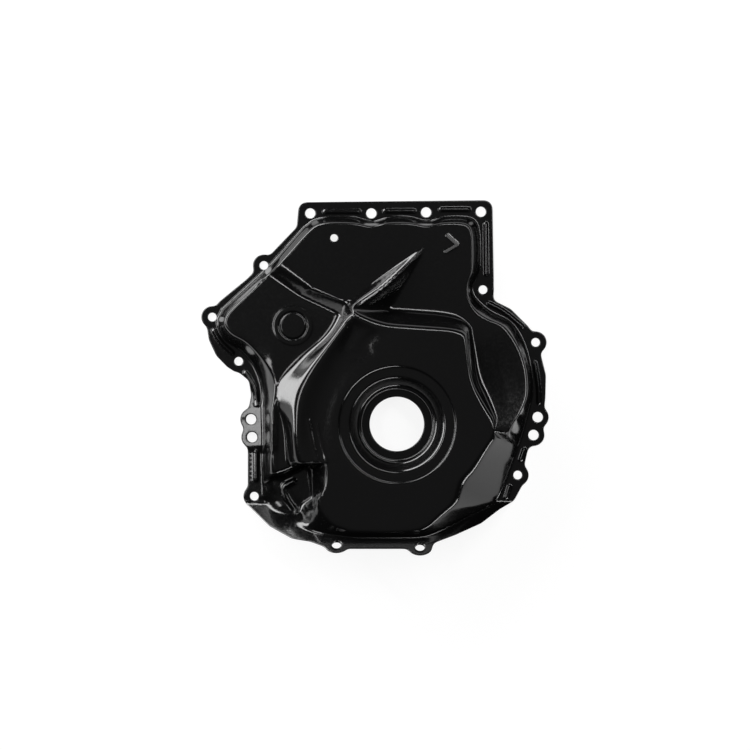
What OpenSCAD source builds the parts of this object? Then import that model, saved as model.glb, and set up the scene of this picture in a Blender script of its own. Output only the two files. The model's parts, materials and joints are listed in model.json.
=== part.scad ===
// Lower timing cover of an engine, pressed from one steel sheet.
// It lies with its bolting flange down. +Z points out of the cover's front and +Y to its upper edge.
// The forms are laid out around the crank axis. The finished cover is moved so that the middle of
// its outline stands over the origin, with the flange's back at z = 0.

/* [Sheet and panels] */
// Thickness of the steel sheet
sheet_t = 1.8; // [1.2:0.1:2.4]
// Height of the upper panel's front over the flange's back
upper_z = 16; // [12:0.5:22]
// Height of the left panel's front over the flange's back
left_z = 28; // [24:0.5:31]
// Height of the crank plateau's front over the flange's back
main_z = 42; // [38:0.5:44]
// Height of the long curved crest over the flange's back
crest_z = 45; // [43.5:0.5:50]
// Depth of the soft valley between the crest and the crank plateau
valley_depth = 1.5; // [0:0.5:4]
// Size of the bends at the shoulders
shoulder_bend = 4; // [2.5:0.5:6]
// Size of the bends at the feet of the walls
foot_bend = 4; // [2.5:0.5:6]

/* [Crank opening] */
// Diameter of the crank opening
crank_d = 51; // [44:0.5:56]
// Diameter of the seat for the shaft seal
seal_seat_d = 65; // [60:0.5:68]
// Depth of the seal seat
seal_seat_depth = 10; // [7:0.5:12]
// Depth of the funnel over the seal seat
funnel_depth = 11; // [8:0.5:12]
// Radius of the funnel's upper edge
funnel_r = 44.5; // [42:0.5:47]
// Radius of the shallow ring step around the funnel
ring_step_r = 54; // [51:0.5:55]
// Depth of the shallow ring step
ring_step_depth = 1.2; // [0.6:0.1:1.6]

/* [Flange] */
// Diameter of the upper flange's bolt holes
top_hole_d = 9.6; // [8:0.1:11]
// Diameter of the side flanges' bolt holes
side_hole_d = 8.2; // [6.5:0.1:9.5]
// Diameter of the paired holes at the crank's height
pair_hole_d = 9.8; // [8:0.1:11]
// Diameter of the holes in the tilted lower flange
low_hole_d = 9; // [7:0.1:10]
// Diameter of the locating hole in the upper panel
panel_hole_d = 7; // [5:0.1:9]
// Radius of the flange's rounded lobes around its bolts
lobe_r = 10.5; // [9:0.25:12]
// Radius of the hollow blends between lobes and flange
blend_r = 5; // [3:0.5:7]
// Radius of the flange's outer corners
corner_r = 8; // [4:0.5:9]
// Distance of the fold of the lower flange below the crank axis
fold_drop = 74; // [72:0.5:76]
// Tilt of the lower flange towards the front
low_tilt = 48; // [42:1:52]

/* [Hidden] */
$fn = 64;

// Place of the crank axis, seen from the middle of the outline
crank_x = 20.5;
crank_y = -46;

// Places of the bolt holes, from the crank axis
top_bolts = [[-82, 199.5], [-24, 199.5], [28, 200.5], [80, 201]];
side_bolts = [[82, 127], [132, 77], [115, -49], [-126, 150], [-175, 101], [-150, 59], [-135, -69]];
pair_bolts = [[134, 6], [130, -11], [-138, 4], [-137, -13]];
low_bolts = [[-56, -111], [21, -113]];
panel_hole = [-59, 175];

// Edge of the flange without its bolt lobes
flange_edge = [
    [91, 212], [92.3, 136], [92, 117], [108.5, 108.7], [125.7, 91.5], [135.8, 70], [141.8, 46], [141.3, 24],
    [139, 4], [134, -14], [124.7, -25], [121.7, -38], [119.5, -58.5], [111.5, -73.5], [97, -81], [79, -93],
    [54, -103], [36, -109], [14, -114.5], [-43, -114.5], [-66.5, -113], [-80.5, -108.5], [-97.5, -106],
    [-120, -95], [-143, -75.5], [-141.2, -58], [-141.2, -25], [-142, -8], [-140.3, 15], [-138, 27],
    [-140.2, 40.5], [-149, 47.8], [-160, 52.8], [-171.2, 64.2], [-178.4, 79.6], [-180.5, 95], [-169, 115.2],
    [-142, 137.3], [-131.7, 147.7], [-116.7, 163.7], [-94.8, 186.5], [-92.8, 210]
];

// Ring mark on the left panel
ring_mark = [-97, 92];
ring_mark_r = 12.6;
ring_mark_tube = 1.4;

// Inner edge of the dark valley and of the plateau's flat
valley_line = [
    [58, 79], [60, 60], [62, 40], [70, 18], [82, -8], [72, -24], [60, -40], [51, -47], [47, -60],
    [44, -70], [34, -78], [22, -88], [10, -91], [-40, -91], [-58, -84], [-60, -60], [-58, -44],
    [-60, -30], [-66, -21], [-69, -5], [-69, 13], [-63, 32], [-56, 51], [-46, 72], [-40, 84],
    [-28, 86], [-15, 83], [22, 81]
];

// Crest and shoulder line around the crank plateau
shoulder_line = [
    [63, 88], [65, 74], [69, 41], [78, 23], [94, -7], [82, -23], [70, -42], [60, -51], [57, -60],
    [54, -73], [40, -84], [26, -96], [14, -99], [-43, -99], [-49, -96], [-62, -92], [-79, -78],
    [-70, -66], [-66, -50], [-66, -36], [-87, -36], [-90, -23], [-92, -5], [-89, 23], [-80, 49],
    [-61, 78], [-48, 95], [-41, 103], [-32, 99], [-17, 93], [22, 90]
];

// Foot of the plateau and of the crest on the panels
foot_line = [
    [67, 101], [71, 74], [74, 41], [83, 24], [98, -7], [0, -110], [-112, -40], [-113, -13], [-114, 11],
    [-111, 30], [-109, 42], [-90, 67], [-56, 94], [-53, 103], [-48, 117], [-41, 107], [-8, 107]
];

// Line across the panels through the tip of the crest
mid_line = [
    [78, 95], [100, 50], [105, 0], [0, -115], [-118, -40], [-116, 11], [-114, 35], [-125, 70],
    [-105, 108], [-82, 128], [-30, 150], [22, 166], [28, 166], [62, 140], [70, 103]
];

// Case wall, from its shoulder down to its foot on the flange, in step around the cover
case_wall = [
    [[84, -64], [96, -74]], [[94, -46], [108, -42]], [[102, -6], [119, -11]], [[114, 9], [125, 13]],
    [[122.5, 27], [129, 28]], [[121.5, 51], [127, 53]], [[114, 74], [121, 77]], [[101, 93], [109, 97]],
    [[86, 98], [90, 105]], [[76, 104], [81, 112]], [[70, 112], [74, 119]], [[66.5, 120], [71.5, 124]],
    [[66, 127], [71, 128]], [[66.5, 134], [73, 134.5]], [[71, 143], [79, 142]], [[71, 180], [79, 183]],
    [[66, 189], [73, 196]], [[42, 189], [43, 196]], [[28, 185.5], [28, 190.5]], [[14, 189], [13, 196]],
    [[-10, 189], [-9, 196]], [[-24, 185], [-24, 190]], [[-38, 189], [-39, 196]], [[-72, 189], [-75, 196]],
    [[-82, 180], [-87, 188]], [[-110, 147], [-117, 153]], [[-117, 140], [-124, 146]],
    [[-138, 120], [-147, 125]], [[-157, 103], [-167, 106]], [[-160, 94], [-171, 95]],
    [[-155, 84], [-164, 79]], [[-140, 77], [-147, 70]], [[-124, 59], [-136, 57]], [[-114, 41], [-129, 43]],
    [[-115, 27], [-126, 27]], [[-118, 11], [-127, 13]], [[-116, -13], [-126, -14]],
    [[-118, -34], [-127, -35]], [[-117, -46], [-126, -52]], [[-116, -62], [-127, -74]],
    [[-100, -78], [-110, -85]], [[-84, -88], [-90, -96]], [[-68, -95], [-70, -102]],
    [[-50, -100], [-49, -104]], [[-41, -102], [-41, -105]], [[14, -102], [14, -105]],
    [[28, -100], [29, -104]], [[44, -91], [47, -97]], [[62, -78], [69, -86]], [[76, -68], [86, -79]]
];

// Stations around the cover. Each gives the spoke, its angle at the plateau and across the panels,
// its place along the case wall, the direction of its flange, the heights of shoulder, foot, panel
// and case shoulder, and a 1 where it crosses a panel or a 0 where one wall runs down to the flange.
lens_z = main_z - 2;
stations = [
    [0, -37.3, -37.3, 0, 0, main_z, lens_z, lens_z, lens_z, 0],
    [8, -8, -8, 1.7, 0, main_z, lens_z, lens_z, lens_z, 0],
    [11, -4.3, -4, 2, 2, main_z, lens_z, lens_z, lens_z, 1],
    [24, 46, 44, 7, 43, main_z, upper_z, upper_z, upper_z, 1],
    [27, 54.5, 50, 8, 48, main_z, upper_z, upper_z, upper_z, 1],
    [30, 57, 57, 9.4, 30, main_z, upper_z, upper_z, upper_z, 1],
    [41, 68, 68, 16, 60, main_z, upper_z, upper_z, upper_z, 1],
    [50, 94.2, 80.4, 17.7, 80, main_z, upper_z, upper_z, upper_z, 1],
    [55, 111.4, 81.4, 18.5, 84, crest_z, crest_z - 2, upper_z, upper_z, 1],
    [57, 112.2, 82.4, 19, 87, crest_z, upper_z, upper_z, upper_z, 1],
    [73, 112.5, 122.6, 25, 130, crest_z, upper_z, upper_z, upper_z, 1],
    [76, 117.2, 127, 26, 132, crest_z, left_z + 3, left_z, left_z - 4, 1],
    [86, 132, 140, 28, 140, crest_z, left_z, left_z, left_z - 4, 1],
    [90, 138, 144, 29.5, 180, crest_z, left_z, left_z, left_z - 4, 1],
    [101, 152, 152.5, 32, 215, crest_z, left_z, left_z, left_z - 2, 1],
    [106, 160, 160, 33.3, 195, crest_z, left_z, left_z - 1, left_z - 2, 1],
    [116, 185, 185, 36.1, 180, crest_z, left_z, left_z, left_z - 2, 1],
    [122, 202.2, 201, 38, 180, crest_z - 8, left_z, left_z, left_z - 2, 1],
    [124, 206, 205, 38.4, 180, main_z, left_z, left_z, left_z, 0],
    [127, 210.5, 210.5, 39, 180, main_z, left_z, left_z, left_z, 0],
    [133, 224, 222, 41, 225, main_z, left_z, left_z, left_z, 0],
    [150, 322.7, 322.7, 50, 360, main_z, lens_z, lens_z, lens_z, 0]
];
spokes = stations[len(stations) - 1][0];

// Width of the flat ring that the formed sheet and the flange share
flange_overlap = 1;
// Radius at which the formed sheet takes over from the turned crank opening
turn_r = 57;
// Width of the flat ring that both share
turn_overlap = 2.5;

function column(k) = [for (s = stations) [s[0], s[k]]];
function at(u, k) = lookup(u, column(k));
function polar(r, a) = [r * cos(a), r * sin(a)];
function lifted(p, z) = [p.x, p.y, z];
function mix(a, b, t) = a + (b - a) * t;

// Distance from the crank axis to a closed line in the direction a
function ray_reach(line, a) =
    let (c = cos(a), s = sin(a), n = len(line))
    max([
        for (i = [0:n - 1])
            let (p = line[i], q = line[(i + 1) % n])
            let (pv = p.y * c - p.x * s, qv = q.y * c - q.x * s)
            if (pv * qv <= 0 && pv != qv)
                mix(p.x * c + p.y * s, q.x * c + q.y * s, pv / (pv - qv))
    ]);
// The same with the line's corners rounded
function reach(line, a) = (ray_reach(line, a - 1) + 2 * ray_reach(line, a) + ray_reach(line, a + 1)) / 4;

// Point along the case wall, with its corners rounded
function wall_point(k, side) =
    let (n = len(case_wall), i = floor(k))
    mix(case_wall[(i + n) % n][side], case_wall[(i + 1 + n) % n][side], k - i);
function wall_at(k, side) =
    (wall_point(k - 0.25, side) + 2 * wall_point(k, side) + wall_point(k + 0.25, side)) / 4;

// Front of the flange, which folds up towards the front below the fold
function flange_z(p) = sheet_t + max(0, -fold_drop - p.y) * tan(low_tilt);

// A bend between three points of a section, as three points on a parabola
function bend(a, c, b, size) =
    let (la = norm(a - c), lb = norm(b - c))
    let (p = c + (a - c) * min(size / la, 0.45), q = c + (b - c) * min(size / lb, 0.45))
    [p, (p + 2 * c + q) / 4, q];

// Section of the formed sheet's front along one spoke, from the crank opening out to the blank's edge
function section(u) =
    let (inner = at(u, 1), across = at(u, 2), k = at(u, 3), out = at(u, 4), panel = at(u, 9))
    let (start = lifted(polar(turn_r, inner), main_z))
    let (flat = lifted(polar(turn_r + turn_overlap, inner), main_z))
    let (dip = max(0, at(u, 5) - main_z) / (crest_z - main_z) * valley_depth)
    let (valley = lifted(polar(max(reach(valley_line, inner), turn_r + 4), inner), main_z - dip))
    let (shoulder = lifted(polar(reach(shoulder_line, inner), inner), at(u, 5)))
    let (foot_xy = wall_at(k, 1))
    let (foot = lifted(foot_xy, flange_z(foot_xy)))
    let (rim_xy = foot_xy + polar(2 * foot_bend, out))
    let (rim = lifted(rim_xy, flange_z(rim_xy)))
    let (edge_xy = foot_xy + polar(foot_bend + flange_overlap, out))
    let (inner_foot = lifted(polar(reach(foot_line, inner), inner), at(u, 6)))
    let (across_panel = lifted(polar(reach(mid_line, across), across), at(u, 7)))
    let (case_edge = lifted(wall_at(k, 0), at(u, 8)))
    let (b = mix(mix(shoulder, foot, 0.3), inner_foot, panel))
    let (c = mix(mix(shoulder, foot, 0.5), across_panel, panel))
    let (d = mix(mix(shoulder, foot, 0.7), case_edge, panel))
    concat(
        [start, flat, valley],
        bend(valley, shoulder, b, shoulder_bend),
        bend(shoulder, b, c, foot_bend),
        [c],
        bend(c, d, foot, shoulder_bend),
        bend(d, foot, rim, 0.45 * 2 * foot_bend),
        [lifted(edge_xy, flange_z(edge_xy))]
    );

// Sheet between the front and a back that lies one thickness behind it, square to the slope
module formed_sheet() {
    front = [for (u = [0:spokes - 1]) section(u)];
    rings = len(front[0]);
    last = rings - 1;
    function turn(i) = (i + spokes) % spokes;
    function normal(i, j) =
        let (along = front[turn(i + 1)][j] - front[turn(i - 1)][j])
        let (outward = front[i][min(j + 1, last)] - front[i][max(j - 1, 0)])
        let (n = cross(outward, along))
        n / norm(n);
    function behind(i, j) = front[i][j] - [0, 0, min(sheet_t / max(normal(i, j).z, 0.3), 3 * sheet_t)];
    points = concat(
        [for (i = [0:spokes - 1]) for (j = [0:last]) front[i][j]],
        [for (i = [0:spokes - 1]) for (j = [0:last]) behind(i, j)]
    );
    function f(i, j) = turn(i) * rings + j;
    function b(i, j) = spokes * rings + f(i, j);
    faces = concat(
        [for (i = [0:spokes - 1]) for (j = [0:last - 1]) [f(i, j), f(i + 1, j), f(i + 1, j + 1)]],
        [for (i = [0:spokes - 1]) for (j = [0:last - 1]) [f(i, j), f(i + 1, j + 1), f(i, j + 1)]],
        [for (i = [0:spokes - 1]) for (j = [0:last - 1]) [b(i, j), b(i + 1, j + 1), b(i + 1, j)]],
        [for (i = [0:spokes - 1]) for (j = [0:last - 1]) [b(i, j), b(i, j + 1), b(i + 1, j + 1)]],
        [for (i = [0:spokes - 1]) [f(i, 0), b(i, 0), b(i + 1, 0)]],
        [for (i = [0:spokes - 1]) [f(i, 0), b(i + 1, 0), f(i + 1, 0)]],
        [for (i = [0:spokes - 1]) [f(i, last), b(i + 1, last), b(i, last)]],
        [for (i = [0:spokes - 1]) [f(i, last), f(i + 1, last), b(i + 1, last)]]
    );
    polyhedron(points, faces, convexity = 10);
}

// Opening of the flange, which the formed sheet fills
module flange_opening() {
    polygon([
        for (u = [0:spokes - 1])
            wall_at(at(u, 3), 1) + polar(foot_bend, at(u, 4))
    ]);
}

// Flat sheet that folds up towards the front along the lower flange
module bent_sheet() {
    reach_y = 60;
    rise = reach_y * tan(low_tilt);
    drop = sheet_t / cos(low_tilt);
    fold_back = -fold_drop + (drop - sheet_t) / tan(low_tilt);
    translate([-250, 0, 0])
        rotate([90, 0, 90])
            linear_extrude(height = 500)
                polygon([
                    [250, 0], [250, sheet_t], [-fold_drop, sheet_t], [-fold_drop - reach_y, sheet_t + rise],
                    [-fold_drop - reach_y, sheet_t + rise - drop], [fold_back, 0]
                ]);
}

// Flange, flat along the top and the sides and tilted below the fold
module flange() {
    intersection() {
        bent_sheet();
        translate([0, 0, -1])
            linear_extrude(height = 100)
                difference() {
                    flange_outline();
                    flange_opening();
                }
    }
}

// Edge of the flange with a rounded lobe around each bolt
module flange_outline() {
    offset(r = -blend_r)
        offset(delta = blend_r)
            union() {
                offset(r = corner_r)
                    offset(delta = -corner_r)
                        polygon(flange_edge);
                for (p = concat(top_bolts, side_bolts, pair_bolts))
                    translate(p)
                        circle(r = lobe_r);
                for (p = low_bolts)
                    translate(p)
                        scale([1.1, cos(low_tilt)])
                            circle(r = lobe_r);
            }
}

// Turned crank opening: ring step, funnel, seat for the shaft seal and inner lip
module crank_opening() {
    seat_r = seal_seat_d / 2;
    step_z = main_z - ring_step_depth;
    seat_z = step_z - funnel_depth;
    lip_z = seat_z - seal_seat_depth;
    rotate_extrude($fn = 128)
        polygon([
            [turn_r + turn_overlap / 2, main_z], [ring_step_r + 1, main_z], [ring_step_r - 1, step_z],
            [funnel_r, step_z], [seat_r + 3, seat_z], [seat_r + 1, seat_z - 0.5], [seat_r, seat_z - 2],
            [seat_r, lip_z], [crank_d / 2, lip_z], [crank_d / 2, lip_z - sheet_t],
            [seat_r + sheet_t, lip_z - sheet_t], [seat_r + sheet_t, seat_z - sheet_t],
            [seat_r + 3, seat_z - sheet_t], [funnel_r + sheet_t / 2, step_z - sheet_t],
            [ring_step_r + 0.5, step_z - sheet_t], [ring_step_r + 2, main_z - sheet_t],
            [turn_r + turn_overlap / 2, main_z - sheet_t]
        ]);
}

module bolt_holes() {
    for (p = top_bolts)
        translate(p)
            cylinder(d = top_hole_d, h = 30, center = true);
    for (p = side_bolts)
        translate(p)
            cylinder(d = side_hole_d, h = 30, center = true);
    for (p = pair_bolts)
        translate(p)
            cylinder(d = pair_hole_d, h = 30, center = true);
    for (p = low_bolts)
        translate(lifted(p, flange_z(p) - sheet_t / 2))
            rotate([-low_tilt, 0, 0])
                cylinder(d = low_hole_d, h = 14, center = true);
    translate(lifted(panel_hole, upper_z))
        cylinder(d = panel_hole_d, h = 12, center = true);
}

// Pressed ring mark in the left panel
module ring_groove() {
    translate(lifted(ring_mark, left_z + ring_mark_tube / 3))
        rotate_extrude($fn = 64)
            translate([ring_mark_r, 0])
                circle(r = ring_mark_tube, $fn = 24);
}

module timing_cover() {
    color([0.05, 0.05, 0.055])
        translate([crank_x, crank_y, 0])
            difference() {
                union() {
                    formed_sheet();
                    flange();
                    crank_opening();
                }
                ring_groove();
                bolt_holes();
            }
}

timing_cover();
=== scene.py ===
"""Timing cover: the pressed sheet with its fine forms, its painted finish and the stage it lies on."""

import json
import math

import bpy
import numpy as np
from mathutils.bvhtree import BVHTree
from mathutils.geometry import delaunay_2d_cdt
from mathutils.kdtree import KDTree
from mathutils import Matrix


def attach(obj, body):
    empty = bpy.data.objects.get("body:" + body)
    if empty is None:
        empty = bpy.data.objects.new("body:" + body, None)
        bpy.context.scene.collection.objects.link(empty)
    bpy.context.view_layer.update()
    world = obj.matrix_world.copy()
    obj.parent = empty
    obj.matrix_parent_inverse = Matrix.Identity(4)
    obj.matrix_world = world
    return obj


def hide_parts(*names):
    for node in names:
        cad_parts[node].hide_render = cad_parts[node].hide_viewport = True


bl_info = {
    "name": "Timing Cover",
    "version": (1, 0, 0),
    "blender": (4, 5, 0),
    "location": "View3D > Sidebar > Timing Cover",
    "description": "Builds a pressed and painted timing cover and the stage it lies on",
    "category": "Add Mesh",
}

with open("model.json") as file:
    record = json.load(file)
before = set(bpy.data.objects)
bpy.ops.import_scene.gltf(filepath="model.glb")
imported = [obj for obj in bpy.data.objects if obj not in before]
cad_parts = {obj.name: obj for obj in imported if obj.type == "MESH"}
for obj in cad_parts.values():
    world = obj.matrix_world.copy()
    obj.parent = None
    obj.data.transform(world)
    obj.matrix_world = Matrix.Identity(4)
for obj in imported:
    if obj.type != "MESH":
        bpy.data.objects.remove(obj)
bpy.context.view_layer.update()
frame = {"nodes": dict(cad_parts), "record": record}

NODE = "timing_cover"
MM = 1000.0

# Plan places are in millimetres from the crank axis, which the seal seat of the frame gives.
SEAT = next(m for m in frame["record"]["mounts"] if m["name"] == "seal_seat")
CRANK = np.array(SEAT["pos_m"][:2]) * MM

TOP_BOLTS = [(-82, 199.5), (-24, 199.5), (28, 200.5), (80, 201)]
SIDE_BOLTS = [(82, 127), (132, 77), (115, -49), (-126, 150), (-175, 101), (-150, 59), (-135, -69)]
PAIR_BOLTS = [(134, 6), (130, -11), (-138, 4), (-137, -13)]
LOW_BOLTS = [(-56, -111), (21, -113)]
PANEL_HOLE = (-59, 175)
RING_MARK = (-97, 92)

# Beads pressed along the flange
BEADS = [
    [(-68, 201), (-36, 201)], [(-11, 201.5), (16, 201.5)], [(42, 203), (68, 203)], [(84.5, 189), (85, 142)],
    [(88, 113.5), (101.5, 107), (119, 92)], [(131, 57), (135, 34), (135, 20)], [(121, -25), (118, -34)],
    [(107, -60), (104, -70)], [(-86, 185), (-110, 157)], [(-127, 136), (-164, 107)],
    [(-173, 88), (-167, 77), (-156, 67)], [(-143, 48), (-134, 34), (-132, 18)], [(-133, -27), (-133, -53)],
]
# Rib around the pocket beside the plateau
POCKET_RIB = [(-97, -54), (-105, -58), (-107, -62), (-103, -72), (-95, -82)]
# Soft dents and creases in the plateau between the crest and the crank opening
DENTS = [
    [(-41, 92), (-41, 84), (-48, 73), (-47, 67), (-38, 62), (-27, 68)], [(-32, 73), (-23, 81)],
]
CREASES = [
    [(-74, 0), (-71, -14), (-65, -34)], [(-82, 4), (-78, -19), (-73, -34)],
]
# Plain pressed arrow on the upper panel
ARROW = [(47.5, 177), (57, 168.5), (46, 162)]

# Foot of the valley inside the crest, and edge of the plateau's flat
VALLEY_LINE = [
    (58, 79), (60, 60), (62, 40), (70, 18), (82, -8), (72, -24), (60, -40), (51, -47), (47, -60),
    (44, -70), (34, -78), (22, -88), (10, -91), (-40, -91), (-58, -84), (-62, -60), (-62, -44),
    (-65, -33), (-70, -18), (-73, -5), (-71, 13), (-64, 32), (-56, 51), (-46, 72), (-40, 84),
    (-28, 86), (-15, 83), (22, 81),
]
# Crest and shoulder line around the crank plateau
SHOULDER_LINE = [
    (63, 88), (65, 74), (69, 41), (78, 23), (94, -7), (82, -23), (70, -42), (60, -51), (57, -60),
    (54, -73), (40, -84), (26, -96), (14, -99), (-43, -99), (-49, -96), (-62, -92), (-76, -70.5),
    (-72, -67), (-67, -58), (-66, -50), (-66, -36), (-66, -36), (-90, -36), (-90, -36), (-94, -23),
    (-95.5, -5), (-92.5, 23), (-81.5, 49), (-62, 78), (-48, 95), (-41, 103), (-32, 99), (-17, 93), (22, 90),
]
# Foot of the plateau and of the crest on the panels
FOOT_LINE = [
    (67, 101), (71, 74), (74, 41), (83, 24), (98, -7), (0, -110), (-79, -73.5), (-79, -62), (-80, -50),
    (-81, -39), (-101, -38), (-102, -30), (-103, -6), (-107, 8), (-111, 18), (-112, 27), (-110, 41),
    (-90, 61), (-67, 78), (-57, 90), (-52, 102), (-48, 117), (-41, 107), (-8, 107),
]
# Line across the panels through the tip of the crest
MID_LINE = [
    (78, 95), (100, 50), (105, 0), (0, -115), (-86, -78), (-98, -64), (-107, -50), (-116, -42), (-116, 11),
    (-110, 36), (-120, 68), (-105, 108), (-82, 128), (-30, 150), (22, 166), (28, 166), (62, 140), (69, 103),
]
# Case wall, from its shoulder down to its foot on the flange, in step around the cover
CASE_WALL = [
    [(84, -64), (96, -74)], [(94, -46), (108, -42)], [(102, -6), (119, -11)], [(114, 9), (125, 13)],
    [(122.5, 27), (129, 28)], [(121.5, 51), (127, 53)], [(114, 74), (121, 77)], [(101, 93), (109, 97)],
    [(86, 98), (90, 105)], [(76, 104), (81, 112)], [(70, 112), (74, 119)], [(66.5, 120), (71.5, 124)],
    [(66, 127), (71, 128)], [(66.5, 134), (73, 134.5)], [(71, 143), (79, 142)], [(71, 180), (79, 183)],
    [(66, 189), (73, 196)], [(42, 189), (43, 196)], [(28, 185.5), (28, 190.5)], [(14, 189), (13, 196)],
    [(-10, 189), (-9, 196)], [(-24, 185), (-24, 190)], [(-38, 189), (-39, 196)], [(-72, 189), (-75, 196)],
    [(-83, 181.5), (-87, 188)], [(-112, 148.5), (-117, 153)], [(-119, 141.5), (-124, 146)],
    [(-140, 121), (-147, 125)], [(-159, 103.5), (-167, 106)], [(-162, 94), (-171, 95)],
    [(-155, 84), (-164, 79)], [(-140, 77), (-147, 70)], [(-124, 59), (-136, 57)], [(-114, 41), (-129, 43)],
    [(-115, 27), (-126, 27)], [(-118, 11), (-127, 13)], [(-116, -13), (-126, -14)],
    [(-118, -34), (-127, -35)], [(-117, -46), (-126, -52)], [(-116, -62), (-127, -74)],
    [(-100, -78), (-110, -85)], [(-84, -88), (-90, -96)], [(-68, -95), (-70, -102)],
    [(-50, -100), (-49, -104)], [(-41, -102), (-41, -105)], [(14, -102), (14, -105)],
    [(28, -100), (29, -104)], [(44, -91), (47, -97)], [(62, -78), (69, -86)], [(76, -68), (86, -79)],
]
# Spokes around the crank axis, over how many of them a corner is rounded, and the ones along which the
# sheet has a crease that runs outwards
SPOKES = 150
SPOKE_SOFT = 0.6
CREASE_SPOKES = (8, 11, 24, 27, 50, 55, 57, 73, 76, 121.5, 123, 130, 131.5)
# Spokes from one side of the spur over its ridge to the other, and how far the ridge sags halfway to its tip
SPUR_SPOKES = (50, 55, 57)
SPUR_SAG = (0, -6, -1)
# Size of the valley's bend by its direction from the crank axis, in degrees
VALLEY_BEND = ((120, 170, 190), (12, 9, 2.5))
# How far past the case wall's foot its last bend aims along the flange, and where the formed sheet ends
RIM_REACH = 8.0
FORM_REACH = 5.0
# Radius at which the formed sheet takes over from the turned crank opening, and the flat ring after it
TURN_R = 57.0
TURN_FLAT = 2.5
# Stretch of the left flange that leans up towards its wall, across and along, and the pad of its paired holes
LEAN_X = (-147, -127, -120, -110)
LEAN_Y = (-76, -70, 40, 60)
PAD_Y = (-27, -22, 15, 20)
# Sections of the loft from which the heights of the formed sheet are read
LOFT_SECTIONS = 1800
# Spacing at which the blank's outer edge is eased, and the rounds of easing
EASE_STEP = 0.6
EASE_ROUNDS = 12
# Spacing of the mesh's points along the bends, the creases and the outer edge, and over the flats
BEND_STEP = 1.8
CREASE_STEP = 1.2
EDGE_STEP = 1.25
FLAT_STEP = 2.4
# Gaps that the points of the bends and of the flats keep to the points before them
BEND_GAP = 0.2
FLAT_GAP = 1.4
# Angle from which an edge of the mesh is shaded sharp
SHARP_ANGLE = math.radians(55)
# Share of the floor's white by the distance from the crank axis in metres, with painted shade in a dark ring
# under the cover around its crank opening
PAINTED_UNDER_SHADE = [(0.0, 1.0), (0.028, 1.0), (0.034, 0.05), (0.07, 0.05), (0.112, 1.0)]
# Share of the room's light by the height of the direction it comes from
ROOM_FADE = [(0.0, 0.1), (0.6, 0.12), (0.85, 0.3), (0.96, 0.85), (1.0, 1.0)]


def length(name, text, default):
    """A length that a user can change, in metres."""
    return bpy.props.FloatProperty(name=name, description=text, default=default, unit="LENGTH", precision=5)


def colour(name, text, default):
    """A colour that a user can change."""
    return bpy.props.FloatVectorProperty(name=name, description=text, default=default, subtype="COLOR")


def level(name, text, default):
    """A strength that a user can change."""
    return bpy.props.FloatProperty(name=name, description=text, default=default)


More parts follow.
